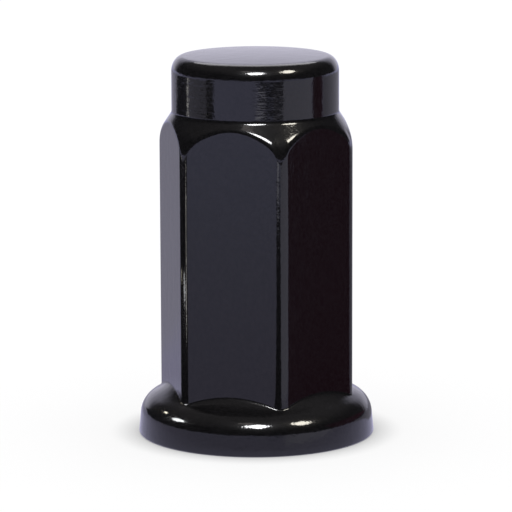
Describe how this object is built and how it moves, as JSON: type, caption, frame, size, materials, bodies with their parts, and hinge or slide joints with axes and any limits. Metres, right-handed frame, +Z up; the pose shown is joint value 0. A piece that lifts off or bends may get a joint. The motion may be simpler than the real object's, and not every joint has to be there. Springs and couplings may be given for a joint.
{
  "type": "lug nut",
  "caption": "Closed-end hex lug nut with a domed flange, a flat seat and a short round cap, tapped for a wheel stud.",
  "frame": {"origin": "centre of the flat seat, on the axis of the stud hole", "axes": "+Z up the stud hole towards the closed cap, +X through one of the hexagon's corners"},
  "size_m": [0.0228, 0.0228, 0.0369],
  "materials": {
    "black_coat": "glossy black plating over steel"
  },
  "bodies": {
    "root": {"lug_nut": "black_coat"}
  },
  "joints": []
}
